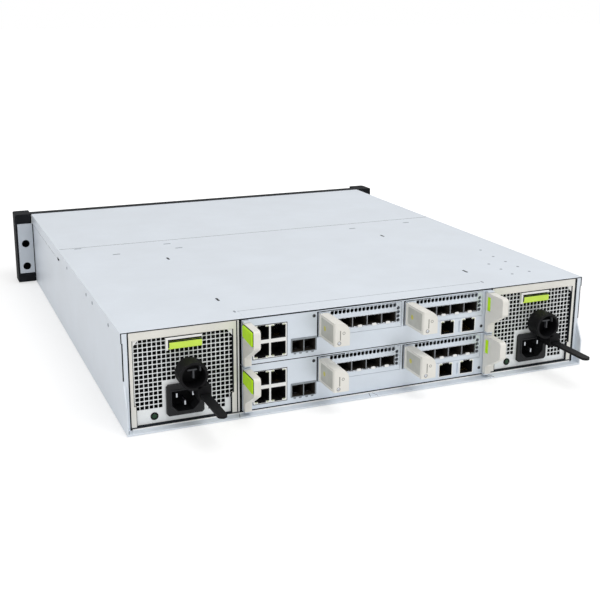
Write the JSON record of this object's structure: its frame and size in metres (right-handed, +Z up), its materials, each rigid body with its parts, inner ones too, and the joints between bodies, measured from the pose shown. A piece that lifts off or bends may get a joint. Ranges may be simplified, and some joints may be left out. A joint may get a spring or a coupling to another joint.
{
  "type": "disk shelf enclosure",
  "caption": "Rack-mount disk shelf enclosure with slide-out power supplies, stacked controllers with plug-in port modules and front disk carriers.",
  "frame": {"origin": "middle of the chassis underside, half way between the front and rear planes of the sheet-metal chassis", "axes": "+X to the right seen from the disk side, +Y towards the rear panel with its modules, +Z up"},
  "size_m": [0.4872, 0.579, 0.0865],
  "materials": {
    "chassis_paint": "pale blue-grey satin paint on sheet steel",
    "black_plastic": "fine-grained black moulding",
    "zinc_sheet": "zinc-plated sheet steel",
    "board": "green circuit board",
    "carrier": "cast disk body in a grey carrier",
    "grip": "dark grey moulding",
    "module_metal": "bright plated sheet steel with a blue cast",
    "cream_plastic": "cream moulding",
    "lime_plastic": "lime green touch-point moulding"
  },
  "bodies": {
    "chassis": {"chassis_tub": "chassis_paint", "front_cover": "chassis_paint", "rear_cover": "chassis_paint", "front_trim": "black_plastic", "inner_frame": "zinc_sheet", "midplane_board": "board"},
    "carrier_c1_r1": {"disk_carrier_c1_r1": "carrier"},
    "grip_c1_r1": {"carrier_grip_c1_r1": "grip"},
    "carrier_c1_r2": {"disk_carrier_c1_r2": "carrier"},
    "grip_c1_r2": {"carrier_grip_c1_r2": "grip"},
    "carrier_c1_r3": {"disk_carrier_c1_r3": "carrier"},
    "grip_c1_r3": {"carrier_grip_c1_r3": "grip"},
    "carrier_c2_r1": {"disk_carrier_c2_r1": "carrier"},
    "grip_c2_r1": {"carrier_grip_c2_r1": "grip"},
    "carrier_c2_r2": {"disk_carrier_c2_r2": "carrier"},
    "grip_c2_r2": {"carrier_grip_c2_r2": "grip"},
    "carrier_c2_r3": {"disk_carrier_c2_r3": "carrier"},
    "grip_c2_r3": {"carrier_grip_c2_r3": "grip"},
    "carrier_c3_r1": {"disk_carrier_c3_r1": "carrier"},
    "grip_c3_r1": {"carrier_grip_c3_r1": "grip"},
    "carrier_c3_r2": {"disk_carrier_c3_r2": "carrier"},
    "grip_c3_r2": {"carrier_grip_c3_r2": "grip"},
    "carrier_c3_r3": {"disk_carrier_c3_r3": "carrier"},
    "grip_c3_r3": {"carrier_grip_c3_r3": "grip"},
    "carrier_c4_r1": {"disk_carrier_c4_r1": "carrier"},
    "grip_c4_r1": {"carrier_grip_c4_r1": "grip"},
    "carrier_c4_r2": {"disk_carrier_c4_r2": "carrier"},
    "grip_c4_r2": {"carrier_grip_c4_r2": "grip"},
    "carrier_c4_r3": {"disk_carrier_c4_r3": "carrier"},
    "grip_c4_r3": {"carrier_grip_c4_r3": "grip"},
    "psu_left": {"psu_case_left": "module_metal", "psu_bezel_left": "cream_plastic", "psu_inlet_left": "black_plastic", "cord_strap_left": "black_plastic"},
    "psu_latch_left": {"psu_latch_left": "lime_plastic"},
    "cord_clamp_left": {"cord_clamp_left": "black_plastic"},
    "psu_right": {"psu_case_right": "module_metal", "psu_bezel_right": "cream_plastic", "psu_inlet_right": "black_plastic", "cord_strap_right": "black_plastic"},
    "psu_latch_right": {"psu_latch_right": "lime_plastic"},
    "cord_clamp_right": {"cord_clamp_right": "black_plastic"},
    "controller_lower": {"controller_tray_lower": "module_metal"},
    "lever_lower_left": {"lever_lower_left": "cream_plastic"},
    "lever_button_lower_left": {"lever_button_lower_left": "lime_plastic"},
    "lever_lower_right": {"lever_lower_right": "cream_plastic"},
    "lever_button_lower_right": {"lever_button_lower_right": "lime_plastic"},
    "port_module_lower_1": {"port_module_lower_1": "module_metal"},
    "port_handle_lower_1": {"port_handle_lower_1": "cream_plastic"},
    "port_module_lower_2": {"port_module_lower_2": "module_metal"},
    "port_handle_lower_2": {"port_handle_lower_2": "cream_plastic"},
    "controller_upper": {"controller_tray_upper": "module_metal"},
    "lever_upper_left": {"lever_upper_left": "cream_plastic"},
    "lever_button_upper_left": {"lever_button_upper_left": "lime_plastic"},
    "lever_upper_right": {"lever_upper_right": "cream_plastic"},
    "lever_button_upper_right": {"lever_button_upper_right": "lime_plastic"},
    "port_module_upper_1": {"port_module_upper_1": "module_metal"},
    "port_handle_upper_1": {"port_handle_upper_1": "cream_plastic"},
    "port_module_upper_2": {"port_module_upper_2": "module_metal"},
    "port_handle_upper_2": {"port_handle_upper_2": "cream_plastic"}
  },
  "joints": [
    {"name": "carrier_slide_c1_r1", "type": "slide", "parent": "chassis", "child": "carrier_c1_r1", "axis": [0, -1, 0], "range_m": [0, 0.18]},
    {"name": "grip_hinge_c1_r1", "type": "hinge", "parent": "carrier_c1_r1", "child": "grip_c1_r1", "pos_m": [-0.1461, -0.2495, 0.01625], "axis": [0, 0, 1], "range_deg": [0, 70]},
    {"name": "carrier_slide_c1_r2", "type": "slide", "parent": "chassis", "child": "carrier_c1_r2", "axis": [0, -1, 0], "range_m": [0, 0.18]},
    {"name": "grip_hinge_c1_r2", "type": "hinge", "parent": "carrier_c1_r2", "child": "grip_c1_r2", "pos_m": [-0.1461, -0.2495, 0.04355], "axis": [0, 0, 1], "range_deg": [0, 70]},
    {"name": "carrier_slide_c1_r3", "type": "slide", "parent": "chassis", "child": "carrier_c1_r3", "axis": [0, -1, 0], "range_m": [0, 0.18]},
    {"name": "grip_hinge_c1_r3", "type": "hinge", "parent": "carrier_c1_r3", "child": "grip_c1_r3", "pos_m": [-0.1461, -0.2495, 0.07085], "axis": [0, 0, 1], "range_deg": [0, 70]},
    {"name": "carrier_slide_c2_r1", "type": "slide", "parent": "chassis", "child": "carrier_c2_r1", "axis": [0, -1, 0], "range_m": [0, 0.18]},
    {"name": "grip_hinge_c2_r1", "type": "hinge", "parent": "carrier_c2_r1", "child": "grip_c2_r1", "pos_m": [-0.03525, -0.2495, 0.01625], "axis": [0, 0, 1], "range_deg": [0, 70]},
    {"name": "carrier_slide_c2_r2", "type": "slide", "parent": "chassis", "child": "carrier_c2_r2", "axis": [0, -1, 0], "range_m": [0, 0.18]},
    {"name": "grip_hinge_c2_r2", "type": "hinge", "parent": "carrier_c2_r2", "child": "grip_c2_r2", "pos_m": [-0.03525, -0.2495, 0.04355], "axis": [0, 0, 1], "range_deg": [0, 70]},
    {"name": "carrier_slide_c2_r3", "type": "slide", "parent": "chassis", "child": "carrier_c2_r3", "axis": [0, -1, 0], "range_m": [0, 0.18]},
    {"name": "grip_hinge_c2_r3", "type": "hinge", "parent": "carrier_c2_r3", "child": "grip_c2_r3", "pos_m": [-0.03525, -0.2495, 0.07085], "axis": [0, 0, 1], "range_deg": [0, 70]},
    {"name": "carrier_slide_c3_r1", "type": "slide", "parent": "chassis", "child": "carrier_c3_r1", "axis": [0, -1, 0], "range_m": [0, 0.18]},
    {"name": "grip_hinge_c3_r1", "type": "hinge", "parent": "carrier_c3_r1", "child": "grip_c3_r1", "pos_m": [0.0756, -0.2495, 0.01625], "axis": [0, 0, 1], "range_deg": [0, 70]},
    {"name": "carrier_slide_c3_r2", "type": "slide", "parent": "chassis", "child": "carrier_c3_r2", "axis": [0, -1, 0], "range_m": [0, 0.18]},
    {"name": "grip_hinge_c3_r2", "type": "hinge", "parent": "carrier_c3_r2", "child": "grip_c3_r2", "pos_m": [0.0756, -0.2495, 0.04355], "axis": [0, 0, 1], "range_deg": [0, 70]},
    {"name": "carrier_slide_c3_r3", "type": "slide", "parent": "chassis", "child": "carrier_c3_r3", "axis": [0, -1, 0], "range_m": [0, 0.18]},
    {"name": "grip_hinge_c3_r3", "type": "hinge", "parent": "carrier_c3_r3", "child": "grip_c3_r3", "pos_m": [0.0756, -0.2495, 0.07085], "axis": [0, 0, 1], "range_deg": [0, 70]},
    {"name": "carrier_slide_c4_r1", "type": "slide", "parent": "chassis", "child": "carrier_c4_r1", "axis": [0, -1, 0], "range_m": [0, 0.18]},
    {"name": "grip_hinge_c4_r1", "type": "hinge", "parent": "carrier_c4_r1", "child": "grip_c4_r1", "pos_m": [0.18645, -0.2495, 0.01625], "axis": [0, 0, 1], "range_deg": [0, 70]},
    {"name": "carrier_slide_c4_r2", "type": "slide", "parent": "chassis", "child": "carrier_c4_r2", "axis": [0, -1, 0], "range_m": [0, 0.18]},
    {"name": "grip_hinge_c4_r2", "type": "hinge", "parent": "carrier_c4_r2", "child": "grip_c4_r2", "pos_m": [0.18645, -0.2495, 0.04355], "axis": [0, 0, 1], "range_deg": [0, 70]},
    {"name": "carrier_slide_c4_r3", "type": "slide", "parent": "chassis", "child": "carrier_c4_r3", "axis": [0, -1, 0], "range_m": [0, 0.18]},
    {"name": "grip_hinge_c4_r3", "type": "hinge", "parent": "carrier_c4_r3", "child": "grip_c4_r3", "pos_m": [0.18645, -0.2495, 0.07085], "axis": [0, 0, 1], "range_deg": [0, 70]},
    {"name": "psu_slide_left", "type": "slide", "parent": "chassis", "child": "psu_left", "axis": [0, 1, 0], "range_m": [0, 0.28]},
    {"name": "psu_latch_slide_left", "type": "slide", "parent": "psu_left", "child": "psu_latch_left", "axis": [0, 0, 1], "range_m": [0, 0.0015], "stiffness_N_per_m": 400},
    {"name": "cord_clamp_slide_left", "type": "slide", "parent": "psu_left", "child": "cord_clamp_left", "axis": [0, 1, 0], "range_m": [0, 0.042]},
    {"name": "psu_slide_right", "type": "slide", "parent": "chassis", "child": "psu_right", "axis": [0, 1, 0], "range_m": [0, 0.28]},
    {"name": "psu_latch_slide_right", "type": "slide", "parent": "psu_right", "child": "psu_latch_right", "axis": [0, 0, 1], "range_m": [0, 0.0015], "stiffness_N_per_m": 400},
    {"name": "cord_clamp_slide_right", "type": "slide", "parent": "psu_right", "child": "cord_clamp_right", "axis": [0, 1, 0], "range_m": [0, 0.042]},
    {"name": "controller_slide_lower", "type": "slide", "parent": "chassis", "child": "controller_lower", "axis": [0, 1, 0], "range_m": [0, 0.28]},
    {"name": "lever_hinge_lower_left", "type": "hinge", "parent": "controller_lower", "child": "lever_lower_left", "pos_m": [0.11815, 0.2472, 0.0238], "axis": [0, 0, -1], "range_deg": [0, 60]},
    {"name": "lever_button_press_lower_left", "type": "slide", "parent": "lever_lower_left", "child": "lever_button_lower_left", "axis": [-1, 0, 0], "range_m": [0, 0.0008], "stiffness_N_per_m": 500},
    {"name": "lever_hinge_lower_right", "type": "hinge", "parent": "controller_lower", "child": "lever_lower_right", "pos_m": [-0.11815, 0.2472, 0.0238], "axis": [0, 0, 1], "range_deg": [0, 60]},
    {"name": "lever_button_press_lower_right", "type": "slide", "parent": "lever_lower_right", "child": "lever_button_lower_right", "axis": [1, 0, 0], "range_m": [0, 0.0008], "stiffness_N_per_m": 500},
    {"name": "port_module_slide_lower_1", "type": "slide", "parent": "controller_lower", "child": "port_module_lower_1", "axis": [0, 1, 0], "range_m": [0, 0.1]},
    {"name": "port_handle_hinge_lower_1", "type": "hinge", "parent": "port_module_lower_1", "child": "port_handle_lower_1", "pos_m": [0.0499, 0.2457, 0.03125], "axis": [0, 0, -1], "range_deg": [0, 55]},
    {"name": "port_module_slide_lower_2", "type": "slide", "parent": "controller_lower", "child": "port_module_lower_2", "axis": [0, 1, 0], "range_m": [0, 0.1]},
    {"name": "port_handle_hinge_lower_2", "type": "hinge", "parent": "port_module_lower_2", "child": "port_handle_lower_2", "pos_m": [-0.034, 0.2457, 0.03125], "axis": [0, 0, -1], "range_deg": [0, 55]},
    {"name": "controller_slide_upper", "type": "slide", "parent": "chassis", "child": "controller_upper", "axis": [0, 1, 0], "range_m": [0, 0.28]},
    {"name": "lever_hinge_upper_left", "type": "hinge", "parent": "controller_upper", "child": "lever_upper_left", "pos_m": [0.11815, 0.2472, 0.0646], "axis": [0, 0, -1], "range_deg": [0, 60]},
    {"name": "lever_button_press_upper_left", "type": "slide", "parent": "lever_upper_left", "child": "lever_button_upper_left", "axis": [-1, 0, 0], "range_m": [0, 0.0008], "stiffness_N_per_m": 500},
    {"name": "lever_hinge_upper_right", "type": "hinge", "parent": "controller_upper", "child": "lever_upper_right", "pos_m": [-0.11815, 0.2472, 0.0646], "axis": [0, 0, 1], "range_deg": [0, 60]},
    {"name": "lever_button_press_upper_right", "type": "slide", "parent": "lever_upper_right", "child": "lever_button_upper_right", "axis": [1, 0, 0], "range_m": [0, 0.0008], "stiffness_N_per_m": 500},
    {"name": "port_module_slide_upper_1", "type": "slide", "parent": "controller_upper", "child": "port_module_upper_1", "axis": [0, 1, 0], "range_m": [0, 0.1]},
    {"name": "port_handle_hinge_upper_1", "type": "hinge", "parent": "port_module_upper_1", "child": "port_handle_upper_1", "pos_m": [0.0499, 0.2457, 0.07205], "axis": [0, 0, -1], "range_deg": [0, 55]},
    {"name": "port_module_slide_upper_2", "type": "slide", "parent": "controller_upper", "child": "port_module_upper_2", "axis": [0, 1, 0], "range_m": [0, 0.1]},
    {"name": "port_handle_hinge_upper_2", "type": "hinge", "parent": "port_module_upper_2", "child": "port_handle_upper_2", "pos_m": [-0.034, 0.2457, 0.07205], "axis": [0, 0, -1], "range_deg": [0, 55]}
  ]
}
